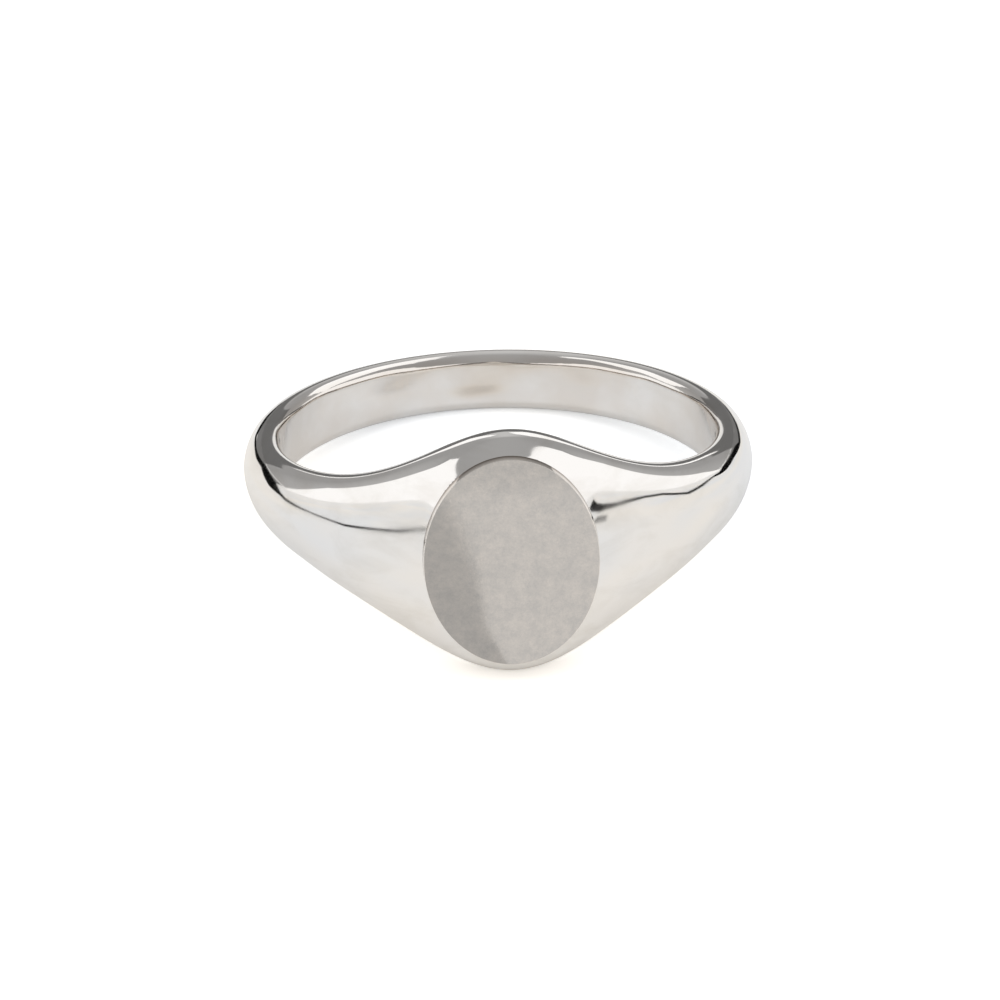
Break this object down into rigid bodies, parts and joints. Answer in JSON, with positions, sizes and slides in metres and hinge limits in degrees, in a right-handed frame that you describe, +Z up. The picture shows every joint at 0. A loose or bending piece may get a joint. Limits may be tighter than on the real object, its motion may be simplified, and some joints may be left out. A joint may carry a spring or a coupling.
{
  "type": "signet ring",
  "caption": "Plain signet ring lying on its side: flat satin oval table standing just proud of a polished head, with tapering shoulders and a half-round shank.",
  "frame": {"origin": "on the ground, under the middle of the bounding box of the ring lying on its side", "axes": "+Z up; the table plate faces -Y and tips up by 11.7 degrees, because the head is wider than the shank; the finger hole runs up along +Z and leans towards +Y by the same angle; X runs across the table, from the left shoulder to the right one"},
  "size_m": [0.0192, 0.02, 0.0094],
  "materials": {
    "polished_silver": "mirror polish",
    "satin_silver": "fine satin"
  },
  "bodies": {
    "root": {"table_plate": "satin_silver", "head": "polished_silver", "shoulder_left": "polished_silver", "shoulder_right": "polished_silver", "shank": "polished_silver"}
  },
  "joints": []
}
